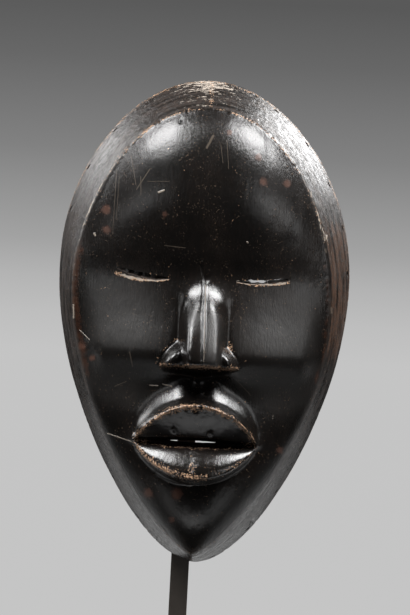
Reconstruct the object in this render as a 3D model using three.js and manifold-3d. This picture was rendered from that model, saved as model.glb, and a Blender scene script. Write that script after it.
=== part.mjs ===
// A carved wooden face mask that rests on its steel stand. Millimetres, +Z up, the face towards -Y,
// the origin in the middle of the foot's underside.
// The carving is worked out in the mask's own frame: X across the face, Y up from the chin and Z out of
// the flat back rim, so a depth below is a distance in front of that rim.
import * as THREE from "three";
import { mergeVertices } from "three/addons/utils/BufferGeometryUtils.js";
import Module from "manifold-3d";

const { PI, abs, max, min, sin, cos, exp, hypot } = Math;
const { lerp } = THREE.MathUtils;

// Mask: overall sizes
const maskHeight = 240; // chin to crown, at the back rim
const maskWidth = 143; // across the back rim at its widest
const rimWidth = 8; // flat back edge of the shell
const wallThickness = 9; // wood behind the middle of the face
const crownBorder = 14.7; // height of the border that slopes back above the forehead
const chinBorder = 4.2; // and of the one under the chin
const cheekBorder = 8; // its width beside the cheeks
const borderDepth = 35; // border, front to back, beside the eyes
const borderBulge = 1.6; // how far the border swells between its two edges
const faceSwell = 20; // fullest part of the forehead, in front of the border

// Mask: cut right through the wood
const eyeSlitHeight = 1.9;
const mouthSlitHeight = 2;
const lashingHoleDiameter = 3.4; // holes for tying on a costume
const lashingHoleInset = 6; // from the rim's plane to the holes
const lashingHoleCount = 26;

// Mask: reliefs, each a height above the face around it
const noseRelief = 20.5;
const nostrilRelief = 12.5;
const upperLipRelief = 14;
const lowerLipRelief = 11.5;
const cheekboneRelief = 5;
const ledgeRounding = 2; // of the cheekbones' lower edge
const eyeHollow = 1.2;
const cheekHollow = 1.5;
const philtrumDepth = 1.4;
const mouthDepth = 4.5; // floor of the parted lips, behind the face

// Stand
const rodSize = 9; // square bar
const rodBendRadius = 14; // of the bar's middle line, at the top
const armReach = 24; // from the rim's plane to the middle of the rest bar
const restBarDiameter = 8;
const restBarLength = 36;
const chinClearance = 83; // foot's top to the chin
const footWidth = 120;
const footDepth = 100;
const footHeight = 12;
const footChamfer = 1;
const rodSocketDepth = 8;

// Fits
const fitGap = 0.3; // between pieces that touch
const seatGap = 0.5; // between the rest bar and the faceted hollow that hangs on it
const maskOffset = 4.4; // the mask's middle to the right of the rod's

// The carving's places, as shares of the mask's height and half width
const halfWidth = maskWidth / 2;
const eyeLine = 0.587 * maskHeight;
const cheekLedge = 0.43 * maskHeight;
const noseBase = 0.406 * maskHeight;
const noseFall = 0.019 * maskHeight; // height of the nose's underside
const mouthLine = 0.248 * maskHeight;
const lipHeight = 0.079 * maskHeight; // from the mouth line to either lip's edge
const lipUndercut = 0.012 * maskHeight; // width of the step down from the lower lip
const lipFlank = 0.066 * maskHeight; // and of the slope from the face up to the upper lip
const lipRoll = 0.015 * maskHeight; // steep part of that slope
const mouthHalf = 0.425 * halfWidth;
const mouthGap = 0.0105 * maskHeight; // half height of the dark gap between the lips
const mouthSlitHalf = 0.16 * halfWidth;
const nostrilMiddle = 0.16 * halfWidth;
const nostrilHalf = 0.104 * halfWidth;
const nostrilBlend = 2; // rounding where the nostrils meet the ridge
const noseHalf = 0.265 * halfWidth;
const ridgeShift = 1.2; // the ridge stands to the right of the middle
const eyeInner = 0.233 * halfWidth;
const eyeOuter = 0.607 * halfWidth;
const rimDrift = [2.6, -1.4]; // sideways lean of the rim's middle, at the chin and the crown
const creaseDrift = [1.2, -1]; // and of the face's middle

// The face is a grid of quads whose rows bend to follow the lips, the nose and the eyes
const columns = 34;
const leastRow = 0.5; // rows close up no further than this at the corners of the mouth
const borderSteps = 3;
const hollowRings = [0.97, 0.89, 0.75, 0.55, 0.3]; // shares of the way out from the middle

const share = (a, b, value) => THREE.MathUtils.clamp((value - a) / (b - a), 0, 1);
const ease = (a, b, value) => THREE.MathUtils.smoothstep(value, a, b);
const roundedMax = (a, b, blend) => (a + b + hypot(a - b, blend)) / 2;

// A smooth curve through [place, value] stations.
function stationCurve(stations) {
  const slope = (i) => {
    const before = stations[max(i - 1, 0)];
    const after = stations[min(i + 1, stations.length - 1)];
    return (after[1] - before[1]) / (after[0] - before[0]);
  };
  return (place) => {
    let i = 0;
    while (i < stations.length - 2 && place > stations[i + 1][0]) i += 1;
    const [from, low] = stations[i];
    const [to, high] = stations[i + 1];
    const s = share(from, to, place);
    const lean = (to - from) * s * (1 - s) * (slope(i) * (1 - s) - slope(i + 1) * s);
    return lerp(low, high, s * s * (3 - 2 * s)) + lean;
  };
}

// Egg outlines with a pointed chin and a round crown: the back rim, the crease around the face, and the
// edge of the hollow.
const rimEgg = { low: 0, high: maskHeight, half: 1.014 * halfWidth, lift: 1.315, chin: 0.425, crown: 0.486 };
const hollowEgg = {
  ...rimEgg,
  low: rimWidth,
  high: maskHeight - rimWidth,
  half: 1.014 * halfWidth - rimWidth,
};
const creaseEgg = {
  low: chinBorder,
  high: maskHeight - crownBorder,
  half: 1.012 * (halfWidth - cheekBorder),
  lift: 1.254,
  chin: 0.575,
  crown: 0.461,
};
const rimMiddle = (y) => lerp(...rimDrift, y / maskHeight);
const creaseMiddle = (y) => lerp(...creaseDrift, ease(0.38, 0.6, y / maskHeight));

function eggHalfWidth(egg, y) {
  const t = share(egg.low, egg.high, y);
  return egg.half * max(sin(PI * t ** egg.lift), 0) ** lerp(egg.chin, egg.crown, t);
}

// The height at which an egg is this wide, towards its crown or its chin.
function eggHeight(egg, half, towardsCrown) {
  let wide = lerp(egg.low, egg.high, 0.5 ** (1 / egg.lift));
  let narrow = towardsCrown ? egg.high : egg.low;
  for (let i = 0; i < 40; i += 1) {
    const middle = (wide + narrow) / 2;
    if (eggHalfWidth(egg, middle) > half) wide = middle;
    else narrow = middle;
  }
  return (wide + narrow) / 2;
}

// Down the face by shares of the crease's height: depth of the crease, and how far the middle swells out.
const creaseShare = (y) => share(creaseEgg.low, creaseEgg.high, y);
const creaseProfile = stationCurve([
  [0, 0.94],
  [0.3, 0.94],
  [0.62, 1],
  [0.8, 1.06],
  [1, 1.17],
]);
const swellProfile = stationCurve([
  [0, 0],
  [0.07, 0.52],
  [0.15, 0.78],
  [0.25, 0.84],
  [0.39, 0.82],
  [0.46, 0.9],
  [0.55, 0.78],
  [0.62, 0.74],
  [0.68, 0.84],
  [0.77, 0.93],
  [0.85, 0.84],
  [0.91, 0.65],
  [0.96, 0.37],
  [1, 0],
]);
const creaseDepth = (y) => borderDepth * creaseProfile(creaseShare(y));
const middleDepth = (y) => creaseDepth(y) + faceSwell * swellProfile(creaseShare(y));

// 1 at the middle of the mouth, 0 at its corners.
const mouthArch = (x, power) => max(1 - (x / mouthHalf) ** 2, 0) ** power;
const upperEdge = (x) => mouthLine + lipHeight * mouthArch(x, 0.75);
const lowerEdge = (x) => mouthLine - 0.95 * lipHeight * mouthArch(x, 0.75);
const gapHalf = (x) => mouthGap * mouthArch(x, 0.6);

function lips(x, y) {
  const upper = upperLipRelief * lerp(0.2, 1, mouthArch(x, 0.45));
  const lower = lowerLipRelief * lerp(0.2, 1, mouthArch(x, 0.6));
  const inner = 0.3 * lower;
  const top = upperEdge(x);
  const bottom = lowerEdge(x);
  const gap = gapHalf(x);
  if (abs(x) > mouthHalf || y > top || y < bottom) {
    const beside = max(abs(x) - mouthHalf, 0);
    const away = hypot(beside, y > mouthLine ? max(y - top, 0) : max(bottom - y, 0));
    const side = ease(-lipUndercut, lipUndercut, y - mouthLine);
    const flank = lipFlank * lerp(0.6, 1, mouthArch(x, 0.75));
    const above = lerp(max(1 - away / lipRoll, 0) ** 1.3, max(1 - away / flank, 0) ** 1.6, 0.57);
    return lerp(lower * max(1 - away / lipUndercut, 0), upper * above, side);
  }
  if (y > mouthLine + gap) return lerp(inner, upper, share(mouthLine + gap, top, y) ** 0.85);
  if (y < mouthLine - gap) return lerp(inner, lower, 1 - share(bottom, mouthLine - gap, y) ** 1.8);
  const floor = lerp(inner, -mouthDepth, mouthArch(x, 0.5));
  return lerp(floor, inner, gap > 0 ? abs(y - mouthLine) / gap : 1);
}

// Up the nose from its base to the eye line: height of the ridge, and half its width at half height.
const ridgeProfile = stationCurve([
  [0, 0.96],
  [0.06, 1],
  [0.25, 0.88],
  [0.5, 0.67],
  [0.7, 0.44],
  [0.85, 0.22],
  [1, 0.05],
  [1.15, 0],
]);
const ridgeHalf = stationCurve([
  [0, 0.133],
  [0.25, 0.138],
  [0.5, 0.135],
  [0.7, 0.118],
  [0.85, 0.1],
  [1, 0.075],
  [1.15, 0.05],
]);

// The lower edge of the nose's underside, which falls furthest in the middle.
const underNose = (x) => noseBase - noseFall * lerp(0.3, 1, max(1 - (x / noseHalf) ** 2, 0));

function nose(x, y) {
  const up = max(y - noseBase, 0);
  const t = up / (eyeLine - noseBase);
  if (t > 1.14) return 0;
  const across = abs(x - ridgeShift) / (ridgeHalf(t) * halfWidth);
  const ridge = noseRelief * ridgeProfile(t) * exp(-0.7 * across ** lerp(7, 1.5, ease(0.15, 0.85, t)));
  const lobeY = up / nostrilHalf - 0.3;
  const lobeX = (abs(x) - nostrilMiddle) / nostrilHalf + 0.4 * lobeY;
  const lobe = nostrilRelief * (1 - (lobeX ** 2 + (lobeY / 1.4) ** 2) ** 1.5);
  const blended = roundedMax(ridge, lobe, nostrilBlend * ridgeProfile(t));
  return blended * share(underNose(x), noseBase, y);
}

// Depth of the carved face at a place inside its crease.
function faceDepth(x, y) {
  const half = max(eggHalfWidth(creaseEgg, y), 1e-6);
  const out = min(abs(x - creaseMiddle(y)) / half, 1);
  const dome = lerp(creaseDepth(y), middleDepth(y), 1 - out ** 2.4);
  const inside = 1 - ease(0.8, 1, out);
  const beside = ease(0.1, 0.27, abs(x) / halfWidth);
  const fromLedge = (hypot(y - cheekLedge, ledgeRounding) - ledgeRounding) / maskHeight;
  const slope = y > cheekLedge ? exp(-fromLedge / 0.1) : exp(-((fromLedge / 0.045) ** 2));
  const cheekbone = cheekboneRelief * slope;
  const socket = eyeHollow * exp(-(((y - eyeLine) / (0.06 * maskHeight)) ** 2));
  const cheek = cheekHollow * exp(-(((y - 0.36 * maskHeight) / (0.055 * maskHeight)) ** 2));
  const groove = exp(-((x / (0.04 * halfWidth)) ** 2)) * ease(upperEdge(0) - 2, upperEdge(0) + 4, y);
  const philtrum = philtrumDepth * groove * (1 - ease(noseBase - 2 * noseFall, noseBase - noseFall, y));
  return dome + inside * beside * (cheekbone - socket - cheek) + lips(x, y) + nose(x, y) - philtrum;
}

// Depth of the hollow, at a share of the way out from its middle to its edge.
const hollowDepth = (out, y) => (middleDepth(y) - wallThickness) * (1 - out ** 3) ** (1 / 3);
const hollowMiddle = [rimMiddle(maskHeight / 2), maskHeight / 2];
const hollowPlace = ([x, y], out) => [lerp(hollowMiddle[0], x, out), lerp(hollowMiddle[1], y, out)];

// Each row of the plan has its height at the crease, the line that it follows over the face, and the
// steps of the grid that lead up to it.
const crownCorner = eggHeight(creaseEgg, 0.52 * halfWidth, true);
const chinCorner = eggHeight(creaseEgg, 0.2 * halfWidth, false);
const closeTo = (steps, line) => (x) => {
  const offset = line(x) - mouthLine;
  return mouthLine + (steps < 0 ? min(offset, steps * leastRow) : max(offset, steps * leastRow));
};
const rowPlan = [
  { height: chinCorner, steps: 0, line: (x) => eggHeight(creaseEgg, abs(x), false) },
  { height: 0.145 * maskHeight, steps: 5, line: closeTo(-6, (x) => lowerEdge(x) - lipUndercut) },
  { height: 0.172 * maskHeight, steps: 1, line: closeTo(-5, lowerEdge) },
  { height: 0.228 * maskHeight, steps: 4, line: closeTo(-1, (x) => mouthLine - gapHalf(x)) },
  { height: mouthLine, steps: 1, line: () => mouthLine },
  { height: 0.27 * maskHeight, steps: 1, line: closeTo(1, (x) => mouthLine + gapHalf(x)) },
  { height: 0.325 * maskHeight, steps: 3, line: closeTo(4, upperEdge) },
  { height: noseBase - noseFall, steps: 4, line: underNose },
  { height: noseBase, steps: 1, line: () => noseBase },
  { height: eyeLine, steps: 11, line: () => eyeLine },
  { height: crownCorner, steps: 15, line: (x) => eggHeight(creaseEgg, abs(x), true) },
];
const gridRows = rowPlan.flatMap((row, k) =>
  Array.from({ length: k ? row.steps : 1 }, (_, i) => ({ k: max(k, 1), part: k ? (i + 1) / row.steps : 0 })));
const rowCount = gridRows.length - 1;
const creaseHeight = ({ k, part }) => lerp(rowPlan[k - 1].height, rowPlan[k].height, part);
const columnPlace = (i) => {
  const s = (2 * i) / columns - 1;
  return lerp(s, s ** 3, 0.45);
};

// A place on the face, for column i and row j of the grid.
function facePlace(i, j) {
  const row = gridRows[j];
  const s = columnPlace(i);
  const x = s * eggHalfWidth(creaseEgg, creaseHeight(row));
  const fade = ease(0.6, 1, abs(s));
  const lineAt = (k) => {
    const plan = rowPlan[k];
    if (k === 0 || k === rowPlan.length - 1) return plan.line(s * eggHalfWidth(creaseEgg, plan.height));
    return lerp(plan.line(x), plan.height, fade);
  };
  const y = lerp(lineAt(row.k - 1), lineAt(row.k), row.part);
  return [x + creaseMiddle(y), y];
}

// The grid's border as places on one egg: along the chin, up one side, along the crown and down.
function loopOn(egg, middleAt) {
  const heightAt = (y) => lerp(egg.low, egg.high, creaseShare(y));
  const arc = (s, corner, towardsCrown) => {
    const x = s * eggHalfWidth(egg, heightAt(corner));
    const y = eggHeight(egg, abs(x), towardsCrown);
    return [x + middleAt(y), y];
  };
  const side = (j, sign) => {
    const y = heightAt(creaseHeight(gridRows[j]));
    return [sign * eggHalfWidth(egg, y) + middleAt(y), y];
  };
  const loop = [];
  for (let i = 0; i < columns; i += 1) loop.push(arc(columnPlace(i), chinCorner, false));
  for (let j = 0; j < rowCount; j += 1) loop.push(side(j, 1));
  for (let i = columns; i > 0; i -= 1) loop.push(arc(columnPlace(i), crownCorner, true));
  for (let j = rowCount; j > 0; j -= 1) loop.push(side(j, -1));
  return loop;
}

const wasm = await Module();
wasm.setup();

function solidFrom(geometry) {
  const bare = new THREE.BufferGeometry().setAttribute("position", geometry.getAttribute("position"));
  const merged = mergeVertices(bare.setIndex(geometry.index), 1e-4);
  const vertProperties = merged.getAttribute("position").array;
  const triVerts = new Uint32Array(merged.index.array);
  return new wasm.Manifold(new wasm.Mesh({ numProp: 3, vertProperties, triVerts }));
}

function pieceFrom(name, solid, material) {
  const { vertProperties, triVerts } = solid.getMesh();
  const geometry = new THREE.BufferGeometry()
    .setAttribute("position", new THREE.BufferAttribute(vertProperties, 3))
    .setIndex(new THREE.BufferAttribute(triVerts, 1))
    .toNonIndexed();
  geometry.computeVertexNormals();
  const piece = new THREE.Mesh(geometry, material);
  piece.name = name;
  return piece;
}

// The shell: the face's grid, the border back to the rim, the rim, and the hollow behind.
function shellGeometry() {
  const positions = [];
  const indices = [];
  const add = (x, y, depth) => positions.push(x, y, depth) / 3 - 1;
  const quad = (a, b, c, d, turned) => {
    if (turned) indices.push(a, b, d, b, c, d);
    else indices.push(a, b, c, a, c, d);
  };

  const grid = [];
  for (let j = 0; j <= rowCount; j += 1) {
    grid.push([]);
    for (let i = 0; i <= columns; i += 1) {
      const [x, y] = facePlace(i, j);
      const edge = i === 0 || i === columns || j === 0 || j === rowCount;
      grid[j].push(add(x, y, edge ? creaseDepth(y) : faceDepth(x, y)));
    }
  }
  for (let j = 0; j < rowCount; j += 1)
    for (let i = 0; i < columns; i += 1) {
      const turned = i < columns / 2 !== j > rowCount / 2;
      quad(grid[j][i], grid[j][i + 1], grid[j + 1][i + 1], grid[j + 1][i], turned);
    }

  const border = [];
  for (let i = 0; i < columns; i += 1) border.push(grid[0][i]);
  for (let j = 0; j < rowCount; j += 1) border.push(grid[j][columns]);
  for (let i = columns; i > 0; i -= 1) border.push(grid[rowCount][i]);
  for (let j = rowCount; j > 0; j -= 1) border.push(grid[j][0]);
  const strip = (inner, outer) => inner.forEach((a, n) => {
    const next = (n + 1) % inner.length;
    quad(a, outer[n], outer[next], inner[next], n < inner.length / 2);
  });

  const crease = loopOn(creaseEgg, creaseMiddle);
  const rim = loopOn(rimEgg, rimMiddle);
  let last = border;
  for (let step = 1; step <= borderSteps; step += 1) {
    const back = step / borderSteps;
    const swell = 4 * back * (1 - back) * borderBulge;
    const ring = rim.map(([x, y], n) => {
      const [fromX, fromY] = crease[n];
      const outX = x - hollowMiddle[0];
      const outY = y - hollowMiddle[1];
      const stretch = swell / hypot(outX, outY);
      const placeX = lerp(fromX, x, back) + outX * stretch;
      return add(placeX, lerp(fromY, y, back) + outY * stretch, creaseDepth(fromY) * (1 - back));
    });
    strip(last, ring);
    last = ring;
  }

  const hollowEdge = loopOn(hollowEgg, rimMiddle);
  for (const out of [1, ...hollowRings]) {
    const ring = hollowEdge.map((place) => {
      const [x, y] = hollowPlace(place, out);
      return add(x, y, hollowDepth(out, y));
    });
    strip(last, ring);
    last = ring;
  }
  const middle = add(...hollowMiddle, hollowDepth(0, hollowMiddle[1]));
  last.forEach((a, n) => indices.push(a, middle, last[(n + 1) % last.length]));

  return new THREE.BufferGeometry()
    .setAttribute("position", new THREE.Float32BufferAttribute(positions, 3))
    .setIndex(indices);
}

// A slit with pointed ends, cut straight through: its middle line and half height along its length.
function slitGeometry(from, to, middleAt, halfHeight) {
  const steps = 8;
  const at = (n) => lerp(from, to, n / steps);
  const open = (n) => halfHeight * max(sin((PI * n) / steps), 0.15) ** 0.6;
  const outline = [];
  for (let n = 0; n <= steps; n += 1) outline.push(new THREE.Vector2(at(n), middleAt(n / steps) - open(n)));
  for (let n = steps; n >= 0; n -= 1) outline.push(new THREE.Vector2(at(n), middleAt(n / steps) + open(n)));
  return new THREE.ExtrudeGeometry(new THREE.Shape(outline), {
    depth: 2 * (borderDepth + faceSwell),
    bevelEnabled: false,
  });
}

function makeMask() {
  let mask = solidFrom(shellGeometry());
  const eyeMiddle = (t) => eyeLine + 0.006 * maskHeight * t - 0.0035 * maskHeight * sin(PI * t);
  for (const side of [-1, 1]) {
    const slit = slitGeometry(eyeInner, eyeOuter, eyeMiddle, eyeSlitHeight / 2);
    if (side < 0) slit.rotateY(PI).translate(0, 0, 2 * (borderDepth + faceSwell));
    mask = mask.subtract(solidFrom(slit));
  }
  const mouthMiddle = () => mouthLine + 0.1 * mouthGap;
  const mouth = slitGeometry(-mouthSlitHalf, mouthSlitHalf, mouthMiddle, mouthSlitHeight / 2);
  mask = mask.subtract(solidFrom(mouth.translate(-0.02 * halfWidth, 0, 0)));

  const corners = loopOn(rimEgg, rimMiddle).map(([x, y]) => new THREE.Vector3(x, y, lashingHoleInset));
  const holeLine = new THREE.CatmullRomCurve3(corners, true);
  const holeRadius = lashingHoleDiameter / 2;
  for (let n = 0; n < lashingHoleCount; n += 1) {
    const along = (n + 0.5) / lashingHoleCount;
    const tangent = holeLine.getTangentAt(along);
    const outwards = new THREE.Vector3(tangent.y, -tangent.x, 0).normalize();
    const drill = new THREE.CylinderGeometry(holeRadius, holeRadius, 3 * rimWidth, 8);
    drill.applyQuaternion(new THREE.Quaternion().setFromUnitVectors(new THREE.Vector3(0, 1, 0), outwards));
    mask = mask.subtract(solidFrom(drill.translate(...holeLine.getPointAt(along).toArray())));
  }
  return mask;
}

// The lowest part of the hollow's roof over the rest bar's length, at a depth.
function roofHeight(depth) {
  let lowest = maskHeight;
  for (const place of loopOn(hollowEgg, rimMiddle).filter(([, y]) => y > 0.75 * maskHeight)) {
    let deep = 0;
    let shallow = 1;
    for (let n = 0; n < 30; n += 1) {
      const out = (deep + shallow) / 2;
      if (hollowDepth(out, hollowPlace(place, out)[1]) > depth) deep = out;
      else shallow = out;
    }
    const [x, y] = hollowPlace(place, deep);
    if (abs(x) <= restBarLength / 2 + 2) lowest = min(lowest, y);
  }
  return lowest;
}

// Height of the rest bar's middle above the chin, with the hollow hanging on it.
function restBarHeight() {
  let height = maskHeight;
  for (let n = 0; n <= 12; n += 1) {
    const turn = ((PI / 2) * n) / 12;
    const roof = roofHeight(armReach + (restBarDiameter / 2) * sin(turn));
    height = min(height, roof - (restBarDiameter / 2) * cos(turn) - seatGap);
  }
  return height;
}

const rimPlane = rodSize / 2 + fitGap; // in front of the rod's middle line
const chinHeight = footHeight + chinClearance;

// The rod's side view, drawn with X forwards and Y up, is as thick as the bar is wide.
function makeRod() {
  const half = rodSize / 2;
  const foot = footHeight - rodSocketDepth + fitGap;
  const armHeight = chinHeight + restBarHeight();
  const bendHeight = armHeight - rodBendRadius;
  const reach = rimPlane + armReach;
  const side = new THREE.Shape();
  side.moveTo(-half, foot);
  side.lineTo(half, foot);
  side.lineTo(half, bendHeight);
  side.absarc(rodBendRadius, bendHeight, rodBendRadius - half, PI, PI / 2, true);
  side.lineTo(reach, armHeight - half);
  side.lineTo(reach, armHeight + half);
  side.lineTo(rodBendRadius, armHeight + half);
  side.absarc(rodBendRadius, bendHeight, rodBendRadius + half, PI / 2, PI, false);
  side.closePath();
  const bar = new THREE.ExtrudeGeometry(side, { depth: rodSize, bevelEnabled: false, curveSegments: 10 });
  bar.translate(0, 0, -half).rotateX(PI / 2).rotateZ(-PI / 2);
  const rest = new THREE.CylinderGeometry(restBarDiameter / 2, restBarDiameter / 2, restBarLength, 20);
  rest.rotateZ(PI / 2).translate(maskOffset, -reach, armHeight);
  return solidFrom(bar).add(solidFrom(rest));
}

function makeFoot() {
  const halfX = footWidth / 2;
  const halfY = footDepth / 2;
  const plan = new THREE.Shape([
    new THREE.Vector2(-halfX, -halfY),
    new THREE.Vector2(halfX, -halfY),
    new THREE.Vector2(halfX, halfY),
    new THREE.Vector2(-halfX, halfY),
  ]);
  const block = new THREE.ExtrudeGeometry(plan, {
    depth: footHeight - 2 * footChamfer,
    bevelThickness: footChamfer,
    bevelSize: footChamfer,
    bevelOffset: -footChamfer,
    bevelSegments: 1,
  });
  block.translate(0, 0, footChamfer);
  const socketSize = rodSize + 2 * fitGap;
  const socket = new THREE.BoxGeometry(socketSize, socketSize, 2 * rodSocketDepth);
  return solidFrom(block).subtract(solidFrom(socket.translate(0, 0, footHeight)));
}

const darkWood = new THREE.MeshStandardMaterial({ color: 0x2a231e, roughness: 0.35, metalness: 0 });
const darkSteel = new THREE.MeshStandardMaterial({ color: 0x3a3530, roughness: 0.5, metalness: 0.8 });

const mask = pieceFrom("dan_mask", makeMask(), darkWood);
mask.geometry.rotateX(PI / 2).translate(maskOffset, -rimPlane, chinHeight);

const part = new THREE.Group();
part.add(mask);
part.add(pieceFrom("stand_rod", makeRod(), darkSteel));
part.add(pieceFrom("stand_foot", makeFoot(), darkSteel.clone()));

export default part;
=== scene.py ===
import math
import bmesh
import bpy
from mathutils import Matrix, Vector, noise


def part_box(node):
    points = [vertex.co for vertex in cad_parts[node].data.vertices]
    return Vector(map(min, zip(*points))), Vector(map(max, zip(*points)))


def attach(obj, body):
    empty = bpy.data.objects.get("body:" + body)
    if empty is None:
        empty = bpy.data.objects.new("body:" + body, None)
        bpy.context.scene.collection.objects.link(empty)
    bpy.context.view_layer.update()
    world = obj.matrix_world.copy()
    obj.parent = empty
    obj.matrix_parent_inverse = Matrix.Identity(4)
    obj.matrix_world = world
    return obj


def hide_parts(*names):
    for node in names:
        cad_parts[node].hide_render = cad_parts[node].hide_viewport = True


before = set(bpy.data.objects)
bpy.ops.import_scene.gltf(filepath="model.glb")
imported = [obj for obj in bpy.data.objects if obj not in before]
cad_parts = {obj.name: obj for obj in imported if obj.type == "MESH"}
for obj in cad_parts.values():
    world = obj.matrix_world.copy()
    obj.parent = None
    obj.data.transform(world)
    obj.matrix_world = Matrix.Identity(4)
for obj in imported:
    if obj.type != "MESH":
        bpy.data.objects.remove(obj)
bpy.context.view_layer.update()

mm = 0.001


# small maths that the carving uses
def lerp(a, b, t):
    return a + (b - a) * t


def share(a, b, value):
    return min(max((value - a) / (b - a), 0.0), 1.0)


def ease(a, b, value):
    t = share(a, b, value)
    return t * t * (3 - 2 * t)


def roundedMax(a, b, blend):
    # the larger of two values, rounded over where they meet
    return (a + b + math.hypot(a - b, blend)) / 2


def stationCurve(stations):
    # a smooth curve through pairs of place and value
    def slope(i):
        before, after = stations[max(i - 1, 0)], stations[min(i + 1, len(stations) - 1)]
        return (after[1] - before[1]) / (after[0] - before[0])

    def at(place):
        i = 0
        while i < len(stations) - 2 and place > stations[i + 1][0]:
            i += 1
        (start, low), (end, high) = stations[i], stations[i + 1]
        s = share(start, end, place)
        lean = (end - start) * s * (1 - s) * (slope(i) * (1 - s) - slope(i + 1) * s)
        return lerp(low, high, s * s * (3 - 2 * s)) + lean
    return at


# the mask's own frame, in mm: x across the face, y up from the chin, depth out of the flat back rim
carving = {
    "height": 240.0, "width": 143.0, "rimWidth": 8.0, "wall": 9.0,
    "crownBorder": 14.7, "chinBorder": 4.2, "cheekBorder": 8.0, "borderDepth": 35.0, "borderBulge": 1.6,
    "swell": 20.0, "nose": 20.5, "nostril": 12.5, "upperLip": 14.0, "lowerLip": 11.5, "cheekbone": 5.0,
    "eyeHollow": 1.2, "cheekHollow": 1.5, "philtrum": 1.4, "mouthDepth": 4.5, "lobeBlend": 2.0,
    "ridgeShift": 1.2, "ridgeSquareness": 9, "bridgeSquareness": 1.5,
    "rimDrift": (2.6, -1.4), "creaseDrift": (1.2, -1.0),
    "toRight": 4.4, "rimPlane": 4.8, "chinHeight": 95.0, "meanRadius": 80,
    "holeWidth": 3.4, "holeInset": 6.0, "holes": 26, "holeSides": 20, "drillLength": 24,
    "columns": 150, "columnCrowding": 0.3, "rimSteps": [0.06, 0.5, 0.94, 1.0], "borderSteps": 14,
    "hollowRings": [0.995, 0.985, 0.97, 0.95, 0.92, 0.88, 0.83, 0.77, 0.7, 0.62, 0.53, 0.43, 0.32, 0.2,
                    0.09],
}
height, halfWidth = carving["height"], carving["width"] / 2
eyeLine, cheekLedge, noseBase = 0.587 * height, 0.43 * height, 0.406 * height
noseFall, mouthLine, lipHeight = 0.019 * height, 0.248 * height, 0.079 * height
lipUndercut, lipFlank, lipRoll = 0.012 * height, 0.066 * height, 0.015 * height
mouthHalf = 0.425 * halfWidth
mouthGap, nostrilMiddle, nostrilHalf = 0.0105 * height, 0.16 * halfWidth, 0.104 * halfWidth
eyeInner, eyeOuter, noseHalf = 0.233 * halfWidth, 0.607 * halfWidth, 0.265 * halfWidth

# egg outlines: both ends, half width, where they are widest, and how round the chin and crown are
rimEgg = {"low": 0.0, "high": height, "half": 1.014 * halfWidth,
          "lift": 1.315, "chin": 0.425, "crown": 0.486}
hollowEgg = dict(rimEgg, low=carving["rimWidth"], high=height - carving["rimWidth"],
                 half=1.014 * halfWidth - carving["rimWidth"])
creaseEgg = {"low": carving["chinBorder"], "high": height - carving["crownBorder"],
             "half": 1.012 * (halfWidth - carving["cheekBorder"]),
             "lift": 1.254, "chin": 0.575, "crown": 0.461}


def rimMiddle(y):
    return lerp(*carving["rimDrift"], y / height)


def creaseMiddle(y):
    return lerp(*carving["creaseDrift"], ease(0.38, 0.6, y / height))


def eggHalf(egg, y):
    t = share(egg["low"], egg["high"], y)
    roundness = lerp(egg["chin"], egg["crown"], t)
    return egg["half"] * max(math.sin(math.pi * t ** egg["lift"]), 0.0) ** roundness


def eggHeight(egg, half, towardsCrown):
    # the height at which an egg is this wide, found by halving
    wide = lerp(egg["low"], egg["high"], 0.5 ** (1 / egg["lift"]))
    narrow = egg["high"] if towardsCrown else egg["low"]
    for _ in range(40):
        middle = (wide + narrow) / 2
        if eggHalf(egg, middle) > half:
            wide = middle
        else:
            narrow = middle
    return (wide + narrow) / 2


# depths along the face, as shares, from chin to crown
creaseProfile = stationCurve([(0, 0.94), (0.3, 0.94), (0.62, 1), (0.8, 1.06), (1, 1.17)])
swellProfile = stationCurve([(0, 0), (0.07, 0.52), (0.15, 0.78), (0.25, 0.84), (0.39, 0.82), (0.46, 0.9),
                             (0.55, 0.78), (0.62, 0.74), (0.68, 0.84), (0.77, 0.93), (0.85, 0.84),
                             (0.91, 0.65), (0.96, 0.37), (1, 0)])
# the nose's height and half width, as shares, from its base to the eyes
ridgeProfile = stationCurve([(0, 0.96), (0.06, 1), (0.25, 0.88), (0.5, 0.67), (0.7, 0.44), (0.85, 0.22),
                             (1, 0.05), (1.15, 0)])
ridgeHalf = stationCurve([(0, 0.133), (0.25, 0.138), (0.5, 0.135), (0.7, 0.118), (0.85, 0.1), (1, 0.075),
                          (1.15, 0.05)])


def creaseShare(y):
    return share(creaseEgg["low"], creaseEgg["high"], y)


def creaseDepth(y):
    return carving["borderDepth"] * creaseProfile(creaseShare(y))


def middleDepth(y):
    return creaseDepth(y) + carving["swell"] * swellProfile(creaseShare(y))


def mouthArch(x, power):
    return max(1 - (x / mouthHalf) ** 2, 0.0) ** power


def upperEdge(x):
    return mouthLine + lipHeight * mouthArch(x, 0.75)


def lowerEdge(x):
    return mouthLine - 0.95 * lipHeight * mouthArch(x, 0.75)


def gapHalf(x):
    return mouthGap * mouthArch(x, 0.6)


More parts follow.
